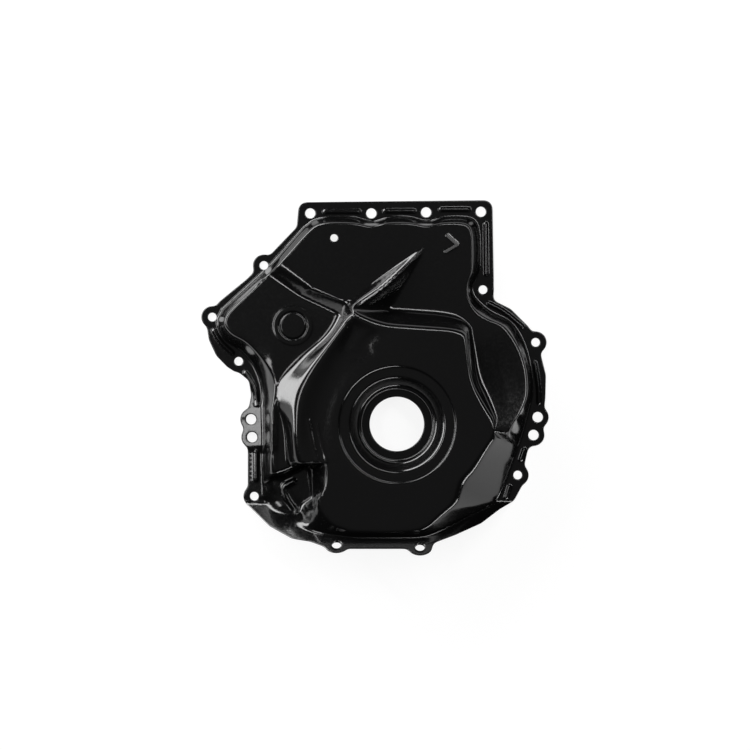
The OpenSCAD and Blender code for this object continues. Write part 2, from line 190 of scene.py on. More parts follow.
class CoverForm(bpy.types.PropertyGroup):
    """Sizes of the pressed sheet."""

    sheet: length("Sheet", "Thickness of the steel sheet", 0.0018)
    upper_z: length("Upper panel", "Height of the upper panel over the flange's back", 0.016)
    left_z: length("Left panel", "Height of the left panel over the flange's back", 0.028)
    main_z: length("Plateau", "Height of the crank plateau over the flange's back", 0.042)
    crest_z: length("Crest", "Height of the long curved crest over the flange's back", 0.045)
    valley_depth: length("Valley", "Depth of the valley between crest and plateau", 0.0019)
    lens_drop: length("Lens drop", "Drop of the lens-shaped panel below the plateau", 0.002)
    pocket_z: length("Pocket", "Height of the pocket beside the plateau over the flange's back", 0.012)
    crest_bend: length("Crest bend", "Size of the bend along the crest and the plateau's shoulder", 0.0056)
    crest_foot_bend: length("Crest foot bend", "Size of the bend at the foot of crest and plateau", 0.0064)
    spur_bend: length("Spur bend", "Size of the bend where the spur's ridge sags", 0.012)
    case_bend: length("Case bend", "Size of the bends at the case wall's shoulder and foot", 0.0024)
    fold_drop: length("Fold", "Distance of the lower flange's fold below the crank axis", 0.074)
    low_tilt: bpy.props.FloatProperty(
        name="Lower flange tilt", description="Tilt of the lower flange towards the front",
        default=math.radians(48), subtype="ANGLE")
    crank_r: length("Crank opening", "Radius of the crank opening", 0.0255)
    seat_r: length("Seal seat", "Radius of the seat for the shaft seal", SEAT["dims"]["r_mm"] / MM)
    seat_depth: length("Seat depth", "Depth of the seal seat", 0.010)
    funnel_depth: length("Funnel depth", "Depth of the funnel over the seal seat", 0.011)
    funnel_r: length("Funnel", "Radius of the funnel's upper edge", 0.0445)
    ring_step_r: length("Ring step", "Radius of the shallow ring step around the funnel", 0.054)
    ring_step_depth: length("Ring step depth", "Depth of the shallow ring step", 0.0012)
    top_hole_r: length("Top holes", "Radius of the upper flange's bolt holes", 0.0048)
    side_hole_r: length("Side holes", "Radius of the side flanges' bolt holes", 0.0041)
    pair_hole_r: length("Paired holes", "Radius of the paired holes at the crank's height", 0.0049)
    low_hole_r: length("Lower holes", "Radius of the holes in the tilted flange", 0.0045)
    panel_hole_r: length("Panel hole", "Radius of the locating hole in the upper panel", 0.0035)
    bead_half: length("Bead", "Half the width of the flange's beads", 0.0032)
    bead_height: length("Bead height", "Height of the flange's beads", 0.0016)
    lean_height: length("Flange lean", "Rise of the left flange towards its wall", 0.002)
    ring_r: length("Ring mark", "Radius of the ring mark's groove", 0.0126)
    ring_half: length("Ring groove", "Half the width of the ring mark's groove", 0.0017)
    ring_depth: length("Ring depth", "Depth of the ring mark's groove", 0.0009)
    ring_pad_r: length("Ring pad", "Radius of the raised pad around the ring mark", 0.0192)
    ring_pad_slope: length("Ring pad slope", "Width of the slope around the raised pad", 0.0016)
    ring_pad_height: length("Ring pad height", "Height of the raised pad", 0.0005)
    arrow_half: length("Arrow", "Half the width of the pressed arrow's foot", 0.0022)
    arrow_height: length("Arrow height", "Height of the pressed arrow", 0.0005)
    # The arrow's faces take a lighter, rougher paint than the rest of the cover
    arrow_rubbed: length("Rubbed arrow", "Half the width of the rubbed paint on the arrow", 0.00125)
    rib_half: length("Rib", "Half the width of the rib around the pocket", 0.004)
    rib_height: length("Rib height", "Height of the rib around the pocket", 0.003)
    dent_half: length("Dents", "Half the width of the soft dents", 0.008)
    dent_depth: length("Dent depth", "Depth of the soft dents", 0.001)
    crease_half: length("Creases", "Half the width of the soft creases", 0.0026)
    crease_height: length("Crease height", "Height of the soft creases", 0.00045)
    edge_round: length("Edge", "Rounding of the painted edges", 0.0009)


class CoverFinish(bpy.types.PropertyGroup):
    """Painted finish."""

    paint: colour("Paint", "Colour of the black paint", (0.0025, 0.0025, 0.0026))
    # Lighter, rougher paint on the arrow's faces
    mark: colour("Mark", "Colour of the rubbed paint on the arrow", (0.05, 0.05, 0.05))
    roughness: bpy.props.FloatProperty(
        name="Roughness", description="Roughness of the gloss paint", subtype="FACTOR", default=0.13)
    mark_roughness: bpy.props.FloatProperty(
        name="Mark roughness", description="Roughness of the rubbed paint", subtype="FACTOR", default=0.4)
    peel: bpy.props.FloatProperty(
        name="Peel", description="Strength of the paint's fine ripple", subtype="FACTOR", default=0.06)


class CoverStage(bpy.types.PropertyGroup):
    """Floor, lights and camera."""

    floor: colour("Floor", "Colour of the floor and its cove", (0.9, 0.9, 0.9))
    floor_glow: colour("Floor glow", "White that camera and mirror rays see on the floor", (0.88, 0.88, 0.88))
    floor_matt: colour("Floor matt", "Part of that white that takes the object's shadow", (0.16, 0.16, 0.16))
    left_light: level("Left light", "Power of the soft light on the left, in watts", 27.0)
    over_light: level("Overhead light", "Power of the soft light over the left side, in watts", 5.0)
    top_light: level("Top light", "Power of the strip light above the upper edge, in watts", 7.5)
    low_light: level("Low light", "Power of the strip light at the lower right, in watts", 8.0)
    world: level("Room", "Brightness of the dim room", 0.10)
    camera_height: length("Camera height", "Height of the camera over the flange's plane", 1.6)
    view_width: length("View width", "Width of the picture on the flange's plane", 0.7125)


class Sizes:
    """The form's lengths in millimetres, and its angles in radians."""

    def __init__(self, form):
        for key in CoverForm.__annotations__:
            value = getattr(form, key)
            setattr(self, key, value if key == "low_tilt" else value * MM)

    @property
    def lens_z(self):
        """Height of the lens-shaped panel."""
        return self.main_z - self.lens_drop

    @property
    def step_z(self):
        """Height of the ring step's floor."""
        return self.main_z - self.ring_step_depth

    @property
    def seat_z(self):
        """Height of the seal seat's upper edge."""
        return self.step_z - self.funnel_depth

    @property
    def lip_z(self):
        """Height of the seal seat's lip."""
        return self.seat_z - self.seat_depth


def stations(s):
    """Stations around the cover: the spoke, its angle at the plateau and across the panels, its place
    along the case wall, the direction of its flange, the heights of shoulder, foot, panel and case
    shoulder, and a 1 where it crosses a panel or a 0 where one wall runs down to the flange."""
    main, lens, up, left, crest, pocket = s.main_z, s.lens_z, s.upper_z, s.left_z, s.crest_z, s.pocket_z
    rows = np.array([
        (0, -37.3, -37.3, 0, 0, main, lens, lens, lens, 0),
        (8, -8, -8, 1.7, 0, main, lens, lens, lens, 0),
        (11, -4.3, -4, 2, 2, main, lens, lens, lens, 1),
        (24, 46, 44, 7, 43, main, up, up, up, 1),
        (27, 54.5, 50, 8, 48, main, up, up, up, 1),
        (30, 57, 57, 9.4, 30, main, up, up, up, 1),
        (41, 68, 68, 16, 60, main, up, up, up, 1),
        (50, 94.2, 80.4, 17.7, 80, main, up, up, up, 1),
        (55, 111.4, 81.4, 18.5, 84, crest, crest - 5, up, up, 1),
        (57, 112.2, 82.4, 19, 87, crest, up, up, up, 1),
        (73, 112.5, 122.2, 24.95, 130, crest, up, up, up, 1),
        (76, 117.2, 127, 26, 132, crest, left + 3, left, left - 1, 1),
        (86, 132, 140, 28, 140, crest, left, left, left - 1, 1),
        (90, 138, 144, 29.5, 180, crest, left, left, left - 1, 1),
        (101, 152, 152.5, 32, 215, crest, left, left, left - 2, 1),
        (106, 160, 160, 33.3, 195, crest, left, left - 1, left - 2, 1),
        (116, 185, 185, 36.1, 180, crest, left, left, left - 2, 1),
        (121.5, 202.6, 202.6, 38, 180, main + 1, left, left, left - 2, 1),
        (123, 205, 205, 38.3, 180, main, pocket + 2, pocket, pocket - 3, 1),
        (130, 222, 221, 40.5, 220, main, pocket + 2, pocket, pocket - 2, 1),
        (131.5, 224.5, 224.5, 41.3, 228, main, pocket, pocket, pocket, 0),
    ], float)
    turn = np.array([SPOKES, 360, 360, len(CASE_WALL), 360, 0, 0, 0, 0, 0], float)
    return np.vstack([rows - turn, rows, rows + turn])


def soft_steps(width):
    """Offsets and weights, nine in all, that round a corner over a width to both sides."""
    return [(k * width / 2, 3 - abs(k)) for k in range(-2, 3)]


def column(table, k, u):
    """One column of the stations at the places u, with its corners rounded a little."""
    return sum(w * np.interp(u + d, table[:, 0], table[:, k]) for d, w in soft_steps(SPOKE_SOFT)) / 9


def rounded(line, rounds=3, closed=True):
    """A line with its corners cut round. A point that is given twice stays sharper."""
    p = np.array(line, float)
    for _ in range(rounds):
        ends = p if closed else p[:-1]
        q = np.roll(p, -1, axis=0) if closed else p[1:]
        cut = np.stack([0.75 * ends + 0.25 * q, 0.25 * ends + 0.75 * q], axis=1).reshape(-1, 2)
        p = cut if closed else np.vstack([p[:1], cut, p[-1:]])
    return p


def reach(line, degrees):
    """Distance from the crank axis to a closed line in each direction."""
    a = np.radians(degrees)[:, None]
    c, s = np.cos(a), np.sin(a)
    q = np.roll(line, -1, axis=0)
    pv, qv = line[:, 1] * c - line[:, 0] * s, q[:, 1] * c - q[:, 0] * s
    pu, qu = line[:, 0] * c + line[:, 1] * s, q[:, 0] * c + q[:, 1] * s
    crossing = (pv * qv <= 0) & (pv != qv)
    t = pv / np.where(pv == qv, 1, pv - qv)
    return np.where(crossing, pu + (qu - pu) * t, -1e9).max(axis=1)


def polar(r, degrees):
    """Plan points at distances and directions from the crank axis."""
    a = np.radians(degrees)
    return np.column_stack([r * np.cos(a), r * np.sin(a)])


def lifted(xy, z):
    """Plan points with a height."""
    return np.column_stack([xy, np.broadcast_to(z, len(xy))])


def mix(a, b, t):
    """Points at the share t of the way from a to b."""
    return a + (b - a) * np.reshape(t, (-1, 1))


def wall_at(k, side):
    """Points along the case wall's shoulder (0) or foot (1), with its corners rounded."""
    line = np.array([pair[side] for pair in CASE_WALL], float)
    total = 0
    for d, w in soft_steps(0.5):
        place = np.mod(k + d, len(line))
        i = place.astype(int) % len(line)
        total = total + w * mix(line[i], line[(i + 1) % len(line)], place - np.floor(place))
    return total / 9


def flange_z(s, xy):
    """Front of the flange, which folds up towards the front below the fold."""
    soft = 2.0
    below = -s.fold_drop - xy[:, 1]
    bent = np.where(np.abs(below) < soft, (below + soft) ** 2 / (4 * soft), np.maximum(below, 0))
    return s.sheet + bent * math.tan(s.low_tilt)


def bend(a, c, b, size, count):
    """Rows of points around a bend at c, between a and b."""
    la = np.linalg.norm(a - c, axis=1)
    lb = np.linalg.norm(b - c, axis=1)
    p = mix(c, a, np.minimum(size / np.maximum(la, 1e-6), 0.45))
    q = mix(c, b, np.minimum(size / np.maximum(lb, 1e-6), 0.45))
    t = np.linspace(0, 1, count)[:, None, None]
    return (1 - t) ** 2 * p + 2 * t * (1 - t) * c + t ** 2 * q


def section_rows(s, u):
    """Rows of the formed sheet's front at the places u, in groups from the crank opening outwards."""
    table = stations(s)
    inner, across, k, out, top, foot_z, panel_z, case_z, panel = (column(table, i, u) for i in range(1, 10))
    start = lifted(polar(TURN_R, inner), s.main_z)
    flat = lifted(polar(TURN_R + TURN_FLAT, inner), s.main_z)
    dip = np.maximum(0, top - s.main_z) / max(s.crest_z - s.main_z, 0.1) * s.valley_depth
    valley_bend = np.interp(inner, *VALLEY_BEND)
    valley_r = np.maximum(reach(rounded(VALLEY_LINE), inner), TURN_R + 4)
    valley = lifted(polar(valley_r, inner), s.main_z - dip)
    shoulder = lifted(polar(reach(rounded(SHOULDER_LINE), inner), inner), top)
    foot_xy = wall_at(k, 1)
    foot = lifted(foot_xy, flange_z(s, foot_xy))
    rim_xy = foot_xy + polar(RIM_REACH, out)
    rim = lifted(rim_xy, flange_z(s, rim_xy))
    inner_foot = lifted(polar(reach(rounded(FOOT_LINE), inner), inner), foot_z)
    panel_mid = lifted(polar(reach(rounded(MID_LINE), across), across), panel_z)
    case_edge = lifted(wall_at(k, 0), case_z)
    near = mix(mix(shoulder, foot, 0.3), inner_foot, panel)
    middle = mix(mix(shoulder, foot, 0.5), panel_mid, panel)
    far = mix(mix(shoulder, foot, 0.7), case_edge, panel)
    ridge = mix(near, middle, 0.5) + np.outer(np.interp(u % SPOKES, SPUR_SPOKES, (0, 1, 0)), SPUR_SAG)
    edge_xy = foot_xy + polar(FORM_REACH, out)
    return [
        np.stack([start, flat]),
        bend(flat, valley, shoulder, valley_bend, 5),
        bend(valley, shoulder, near, s.crest_bend, 7),
        bend(shoulder, near, ridge, s.crest_foot_bend, 7),
        np.vstack([bend(near, ridge, middle, s.spur_bend, 5), middle[None]]),
        bend(middle, far, foot, s.case_bend, 7),
        bend(far, foot, rim, s.case_bend, 7),
        lifted(edge_xy, flange_z(s, edge_xy))[None],
    ]


def even_places(rows, u, spacing):
    """Places along a group of rows at which its middle row has an even spacing."""
    line = rows[len(rows) // 2]
    line = np.vstack([line, line[:1]])
    along = np.concatenate([[0], np.cumsum(np.linalg.norm(np.diff(line, axis=0), axis=1))])
    count = int(along[-1] / spacing)
    return np.interp(np.arange(count) * along[-1] / count, along, np.append(u, SPOKES))


def crank_profile(s):
    """Radius and height of the turned crank opening's front and back."""
    front = np.array([
        (s.crank_r, s.lip_z), (s.seat_r, s.lip_z), (s.seat_r + 0.3, s.seat_z - 1.6),
        (s.seat_r + 0.8, s.seat_z - 0.5), (s.seat_r + 1.8, s.seat_z), (s.seat_r + 3.2, s.seat_z + 0.2),
        (s.funnel_r - 1.2, s.step_z - 1), (s.funnel_r, s.step_z - 0.25), (s.funnel_r + 1.5, s.step_z),
        (s.ring_step_r - 1.2, s.step_z), (s.ring_step_r - 0.4, s.step_z + 0.25),
        (s.ring_step_r + 0.4, s.main_z - 0.25), (s.ring_step_r + 1.2, s.main_z), (TURN_R + 1, s.main_z),
    ])
    t = s.sheet
    back = np.array([
        (s.crank_r, s.lip_z - t), (s.seat_r + t, s.lip_z - t), (s.seat_r + t + 0.3, s.seat_z - t),
        (s.seat_r + 4.1, s.seat_z - t), (s.funnel_r + t / 2, s.step_z - t),
        (s.ring_step_r + 0.5, s.step_z - t), (s.ring_step_r + 2, s.main_z - t), (TURN_R + 1, s.main_z - t),
    ])
    return front, back


def distance_to(line, xy):
    """Distance from points to an open line."""
    best = np.full(len(xy), 1e9)
    for p, q in zip(line[:-1], line[1:]):
        d = q - p
        t = np.clip(((xy - p) @ d) / (d @ d), 0, 1)
        best = np.minimum(best, np.linalg.norm(xy - p - t[:, None] * d, axis=1))
    return best


def hump(distance, half):
    """A smooth rise of 1 that ends at half the width."""
    return np.where(distance < half, 0.5 + 0.5 * np.cos(np.pi * np.minimum(distance / half, 1)), 0)


class Sheet:
    """Height of the sheet's front over each plan point."""

    def __init__(self, s):
        self.s = s
        u = np.arange(0, SPOKES, SPOKES / LOFT_SECTIONS)
        rows = np.concatenate(section_rows(s, u))
        rings, n = rows.shape[:2]
        quads = [
            (j * n + i, j * n + (i + 1) % n, (j + 1) * n + (i + 1) % n, (j + 1) * n + i)
            for j in range(rings - 1) for i in range(n)
        ]
        self.tree = BVHTree.FromPolygons(rows.reshape(-1, 3).tolist(), quads)
        self.front, self.back = crank_profile(s)
        self.beads = [rounded(line, closed=False) for line in BEADS]
        self.arrow = np.array(ARROW, float)
        self.rib = rounded(POCKET_RIB, closed=False)
        self.dents = [rounded(line, closed=False) for line in DENTS]
        self.creases = [rounded(line, closed=False) for line in CREASES]

    def formed(self, xy):
        """Height of the main forms."""
        z = flange_z(self.s, xy)
        for i, (x, y) in enumerate(xy):
            hit = self.tree.ray_cast((x, y, 200), (0, 0, -1))[0]
            if hit:
                z[i] = hit.z
        r = np.hypot(xy[:, 0], xy[:, 1])
        return np.where(r < TURN_R + 1, np.interp(r, self.front[:, 0], self.front[:, 1]), z)

    def lean(self, xy):
        """Rise of the left flange towards its wall, which is twice as high at its paired holes."""
        across, along, pad = (
            np.interp(place, stretch, (0, 1, 1, 0))
            for place, stretch in ((xy[:, 0], LEAN_X), (xy[:, 1], LEAN_Y), (xy[:, 1], PAD_Y))
        )
        return self.s.lean_height * across * along * (1 + pad)

    def pressed(self, xy):
        """Rise of the beads, the ring mark, the arrow, the rib, the dents and the creases."""
        s = self.s
        rise = np.zeros(len(xy))
        for line in self.beads:
            rise = np.maximum(rise, s.bead_height * hump(distance_to(line, xy), s.bead_half))
        r = np.hypot(*(xy - RING_MARK).T)
        rise += s.ring_pad_height * np.clip((s.ring_pad_r - r) / s.ring_pad_slope, 0, 1)
        rise -= s.ring_depth * hump(np.abs(r - s.ring_r), s.ring_half)
        rise += s.arrow_height * np.clip(s.arrow_half - distance_to(self.arrow, xy), 0, 1)
        rise += s.rib_height * hump(distance_to(self.rib, xy), s.rib_half)
        for line in self.dents:
            rise -= s.dent_depth * hump(distance_to(line, xy), s.dent_half)
        for line in self.creases:
            rise += s.crease_height * hump(distance_to(line, xy), s.crease_half)
        return rise

    def height(self, xy):
        """Height of the sheet's front with all its forms."""
        return self.formed(xy) + self.lean(xy) + self.pressed(xy)


def closed_loop(points, spacing):
    """A closed line at an even spacing."""
    line = np.vstack([points, points[:1]])
    along = np.concatenate([[0], np.cumsum(np.linalg.norm(np.diff(line, axis=0), axis=1))])
    count = round(along[-1] / spacing)
    places = np.arange(count) * along[-1] / count
    return np.column_stack([np.interp(places, along, line[:, k]) for k in (0, 1)])


def even_line(points, spacing):
    """Points at an even spacing along an open line."""
    along = np.concatenate([[0], np.cumsum(np.linalg.norm(np.diff(points, axis=0), axis=1))])
    places = np.linspace(0, along[-1], int(along[-1] / spacing) + 2)
    return np.column_stack([np.interp(places, along, points[:, i]) for i in (0, 1)])


def softened(loop, rounds):
    """A closed line with its small corners eased."""
    for _ in range(rounds):
        loop = 0.25 * np.roll(loop, 1, axis=0) + 0.5 * loop + 0.25 * np.roll(loop, -1, axis=0)
    return loop


def blank_edge(mesh):
    """Outer edge of the blank in plan, counterclockwise: the upper rim of the solid's outer wall."""
    co = np.empty(len(mesh.vertices) * 3)
    mesh.vertices.foreach_get("co", co)
    points, index = np.unique(np.round(co.reshape(-1, 3), 6), axis=0, return_inverse=True)
    index = index.ravel()
    upright, front = set(), set()
    for face in mesh.polygons:
        ring = [int(index[v]) for v in face.vertices]
        edges = {tuple(sorted(pair)) for pair in zip(ring, ring[1:] + ring[:1])}
        if abs(face.normal.z) < 0.02:
            upright |= edges
        elif face.normal.z > 0.3:
            front |= edges
    links = {}
    for a, b in upright & front:
        links.setdefault(a, []).append(b)
        links.setdefault(b, []).append(a)
    loops = []
    while links:
        loop = [next(iter(links))]
        while loop[-1] in links:
            onward = [v for v in links.pop(loop[-1]) if v in links]
            if not onward:
                break
            loop.append(onward[0])
        loops.append(points[loop][:, :2] * MM - CRANK)
    edge = max(loops, key=lambda p: np.ptp(p[:, 0]) * np.ptp(p[:, 1]))
    area = np.sum(edge[:, 0] * np.roll(edge[:, 1], -1) - np.roll(edge[:, 0], -1) * edge[:, 1])
    return edge if area > 0 else edge[::-1]


class PlanPoints:
    """Plan points of the mesh, best ones first: later points keep clear of the earlier ones."""

    def __init__(self):
        self.sets = []
        self.loops = []
        self.links = []
        self.edges = []
        self.count = 0

    def clear(self, points, gap):
        """Which points lie inside the blank, outside its holes and clear of the earlier points."""
        free = inside(self.edges[0], points)
        for hole in self.edges[1:]:
            free &= ~inside(hole, points)
        old = np.vstack(self.sets)
        tree = KDTree(len(old))
        for i, (x, y) in enumerate(old):
            tree.insert((x, y, 0), i)
        tree.balance()
        return free & np.array([tree.find((x, y, 0))[2] > gap for x, y in points])

    def add(self, points, gap=0.0):
        """Points, less the ones that come too near to earlier ones where a gap is given."""
        if gap:
            points = points[self.clear(points, gap)]
        if len(points):
            self.sets.append(points)
            self.count += len(points)

    def add_rows(self, rows, gap=0.0, closed=True):
        """Rows of points, which the mesh's edges follow."""
        rows = np.asarray(rows)
        kept = np.ones(rows.shape[:2], bool)
        if gap:
            kept = self.clear(rows.reshape(-1, 2), gap).reshape(rows.shape[:2])
        for row, keep in zip(rows, kept):
            index = np.full(len(row), -1)
            index[keep] = self.count + np.arange(keep.sum())
            following = np.roll(index, -1)
            if not closed:
                following[-1] = -1
            self.links += [pair for pair in zip(index.tolist(), following.tolist()) if min(pair) >= 0]
            self.add(row[keep])

    def add_edge(self, loop, inward, insets):
        """A closed edge of the sheet and the rows beside it."""
        self.loops.append(np.arange(len(loop)) + self.count)
        self.edges.append(loop)
        self.add(loop)
        self.add_rows([loop + inward * inset for inset in insets])


def circle(centre, r, count, squash=1.0):
    """Points around a circle, which may be squashed along Y."""
    a = np.arange(count) * 2 * math.pi / count
    return np.array(centre) + np.column_stack([r * np.cos(a), r * np.sin(a) * squash])


def ribbon(line, half, spacing, rows):
    """Rows of points along and across a bead, with round ends."""
    along = np.concatenate([[0], np.cumsum(np.linalg.norm(np.diff(line, axis=0), axis=1))])
    places = np.linspace(0, along[-1], max(int(along[-1] / spacing), 2))
    p = np.column_stack([np.interp(places, along, line[:, k]) for k in (0, 1)])
    d = np.gradient(p, axis=0)
    d /= np.linalg.norm(d, axis=1)[:, None]
    side = np.column_stack([-d[:, 1], d[:, 0]])
    out = [p + side * offset for offset in np.linspace(-half, half, rows)]
    for end, way in ((0, -1), (-1, 1)):
        turn = np.radians(np.linspace(-75, 75, 9))
        for r in half * np.array([0.25, 0.5, 0.75, 1.0]):
            arc = np.outer(np.cos(turn), way * d[end]) + np.outer(np.sin(turn), side[end])
            out.append(p[end] + r * arc)
    return np.vstack(out)


def plan_points(s, sheet, edge):
    """All plan points: edges first, then pressed details, bends and the even filling."""
    plan = PlanPoints()
    rows = np.array([0.35, 0.7, 1.1]) * s.edge_round
    ahead = np.roll(edge, -1, axis=0) - np.roll(edge, 1, axis=0)
    ahead /= np.linalg.norm(ahead, axis=1)[:, None]
    plan.add_edge(edge, np.column_stack([-ahead[:, 1], ahead[:, 0]]), rows)
    flat_holes = [(p, s.top_hole_r) for p in TOP_BOLTS] + [(p, s.side_hole_r) for p in SIDE_BOLTS]
    flat_holes += [(p, s.pair_hole_r) for p in PAIR_BOLTS] + [(PANEL_HOLE, s.panel_hole_r)]
    holes = [(p, r, 1.0) for p, r in flat_holes]
    holes += [(p, s.low_hole_r, math.cos(s.low_tilt)) for p in LOW_BOLTS]
    holes.append(((0, 0), s.crank_r, 1.0))
    for centre, r, squash in holes:
        count = 160 if r == s.crank_r else 40
        plan.add_edge(circle(centre, r, count, squash), circle((0, 0), 1, count, squash), rows)
    turned = [s.seat_r + r for r in (-5, -3, -1, 0, 0.3, 0.55, 0.8, 1.3, 1.8, 2.5, 3.2, 5, 7, 9)]
    turned += [s.funnel_r + r for r in (-1.2, -0.6, 0, 0.7, 1.5)]
    turned += [s.ring_step_r + r for r in (-5.5, -2.5, -1.2, -0.7, -0.3, 0.1, 0.5, 1.1, 3)]
    plan.add_rows([circle((0, 0), r, 180) for r in turned])
    for line in sheet.beads:
        plan.add(ribbon(line, s.bead_half, 1.4, 9), 0.5)
    ring = [3, 6, 9] + [s.ring_r + r for r in (-1.8, -1.2, -0.6, 0, 0.6, 1.2, 1.8, 3.4)]
    ring += [s.ring_pad_r + r for r in (-1.8, -1.2, -0.6, 0.1)]
    plan.add_rows([circle(RING_MARK, r, 80) for r in ring])
    plan.add(ribbon(sheet.arrow, s.arrow_half - 0.2, 0.6, 9), 0.2)
    for line, half in [(sheet.rib, s.rib_half)] + [(line, s.crease_half) for line in sheet.creases]:
        plan.add(ribbon(line, half, CREASE_STEP, 9), 0.3)
    for spoke in CREASE_SPOKES:
        for u in (spoke - SPOKE_SOFT, spoke, spoke + SPOKE_SOFT):
            line = np.vstack([group[:, 0, :2] for group in section_rows(s, np.array([u]))[2:7]])
            plan.add_rows([even_line(line, CREASE_STEP)], BEND_GAP, closed=False)
    u = np.arange(0, SPOKES, 0.05)
    for i, group in enumerate(section_rows(s, u)):
        if len(group) > 2:
            spaced = section_rows(s, even_places(group, u, BEND_STEP))[i]
            plan.add_rows(spaced[:, :, :2], BEND_GAP)
    plan.add(even_grid(edge, FLAT_STEP), FLAT_GAP)
    return plan


def even_grid(edge, spacing):
    """Points in staggered rows over the whole blank."""
    lo, hi = edge.min(axis=0), edge.max(axis=0)
    points = []
    for j, y in enumerate(np.arange(lo[1], hi[1], spacing * math.sqrt(0.75))):
        x = np.arange(lo[0] + spacing * (j % 2) / 2, hi[0], spacing)
        points.append(np.column_stack([x, np.full(len(x), y)]))
    return np.vstack(points)


def inside(loop, points):
    """Which points lie inside a closed line."""
    q = np.roll(loop, -1, axis=0)
    odd = np.zeros(len(points), bool)
    for (ax, ay), (bx, by) in zip(loop, q):
        if ay == by:
            continue
        over = (points[:, 1] < ay) != (points[:, 1] < by)
        odd ^= over & (points[:, 0] < ax + (bx - ax) * (points[:, 1] - ay) / (by - ay))
    return odd


def triangulated(plan):
    """Plan points and counterclockwise triangles of the sheet, without its holes and its surroundings."""
    points = np.vstack(plan.sets)
    edges = [pair for loop in plan.loops for pair in zip(loop.tolist(), np.roll(loop, -1).tolist())]
    out, _, faces, origin, _, _ = delaunay_2d_cdt(points.tolist(), edges + plan.links, [], 0, 1e-5)
    loop_of = np.full(len(points), -1)
    for i, loop in enumerate(plan.loops):
        loop_of[loop] = i
    owner = np.array([loop_of[ids[0]] if ids else -1 for ids in origin])
    tri = np.array(faces)
    of = owner[tri]
    outside = (of[:, 0] >= 0) & (of[:, 0] == of[:, 1]) & (of[:, 1] == of[:, 2])
    tri = tri[~outside]
    xy = np.array([tuple(v) for v in out])
    a, b, c = xy[tri[:, 0]], xy[tri[:, 1]], xy[tri[:, 2]]
    area = (b[:, 0] - a[:, 0]) * (c[:, 1] - a[:, 1]) - (b[:, 1] - a[:, 1]) * (c[:, 0] - a[:, 0])
    tri[area < 0] = tri[area < 0][:, ::-1]
    return xy, tri[np.abs(area) > 1e-7]


def corner_normals(points, tri):
    """Normals of the mesh's points, weighted by area."""
    n = np.cross(points[tri[:, 1]] - points[tri[:, 0]], points[tri[:, 2]] - points[tri[:, 0]])
    total = np.zeros_like(points)
    for k in range(3):
        np.add.at(total, tri[:, k], n)
    return total / np.maximum(np.linalg.norm(total, axis=1), 1e-12)[:, None]


def rim_edges(tri):
    """Edges that only one triangle has, in its direction."""
    pairs = np.vstack([tri[:, [0, 1]], tri[:, [1, 2]], tri[:, [2, 0]]])
    have = set(map(tuple, pairs.tolist()))
    return [(a, b) for a, b in have if (b, a) not in have]


def edge_drop(s, xy, rim):
    """How far the painted front rolls down beside the edges of the sheet."""
    tree = KDTree(len(rim))
    for i, v in enumerate(rim):
        tree.insert((xy[v][0], xy[v][1], 0), i)
    tree.balance()
    far = np.array([tree.find((x, y, 0))[2] for x, y in xy])
    return s.edge_round * (1 - np.sqrt(1 - np.clip(1 - far / s.edge_round, 0, 0.97) ** 2))


def back_points(s, sheet, xy, front, tri):
    """Back of the sheet, one thickness behind the front and square to its slope."""
    rise = corner_normals(front, tri)[:, 2]
    back = front - np.outer(np.minimum(s.sheet / np.maximum(rise, 0.3), 3 * s.sheet), (0, 0, 1))
    r = np.hypot(xy[:, 0], xy[:, 1])
    turned = r < TURN_R
    back[turned, 2] = np.interp(r[turned], sheet.back[:, 0], sheet.back[:, 1])
    shift = s.sheet * math.sin(s.low_tilt)
    for centre in LOW_BOLTS:
        far = np.hypot(*((xy - centre) / (1, math.cos(s.low_tilt))).T)
        share = np.clip(1 - (far - s.low_hole_r) / 6, 0, 1)
        back[:, 1] -= shift * share
        back[:, 2] += shift * share * math.tan(s.low_tilt)
    back[:, 2] = np.maximum(back[:, 2], 0)
    return back


def cover_mesh(s):
    """Mesh of the whole cover, in metres in the frame."""
    sheet = Sheet(s)
    edge = closed_loop(blank_edge(frame["nodes"][NODE].data), EASE_STEP)
    edge = closed_loop(softened(edge, EASE_ROUNDS), EDGE_STEP)
    xy, tri = triangulated(plan_points(s, sheet, edge))
    front = lifted(xy, sheet.height(xy))
    back = back_points(s, sheet, xy, front, tri)
    rim = rim_edges(tri)
    front[:, 2] -= edge_drop(s, xy, sorted({v for pair in rim for v in pair}))
    n = len(xy)
    faces = tri.tolist() + (tri[:, ::-1] + n).tolist() + [(a, a + n, b + n, b) for a, b in rim]
    points = (np.vstack([front, back]) + (CRANK[0], CRANK[1], 0)) / MM
    mesh = bpy.data.meshes.new("pressed_cover")
    mesh.from_pydata(points.tolist(), [], faces)
    # Faces on the arrow take the second, lighter and rougher paint
    lighter = np.where(distance_to(sheet.arrow, xy[tri].mean(axis=1)) < s.arrow_rubbed, 1, 0)
    mesh.polygons.foreach_set("material_index", np.append(lighter, np.zeros(len(faces) - len(lighter), int)))
    mesh.validate()
    mesh.shade_smooth()
    mesh.set_sharp_from_angle(angle=SHARP_ANGLE)
    return mesh


def node(tree, kind, place, **values):
    """A shader node with its values set."""
    made = tree.nodes.new(kind)
    made.location = place
    for key, value in values.items():
        made.inputs[key].default_value = value
    return made


def ramp(tree, place, steps):
    """A ramp of greys, from places and their values."""
    made = node(tree, "ShaderNodeValToRGB", place)
    while len(made.color_ramp.elements) < len(steps):
        made.color_ramp.elements.new(0.5)
    for element, (position, value) in zip(made.color_ramp.elements, steps):
        element.position = position
        element.color = (value, value, value, 1)
    return made


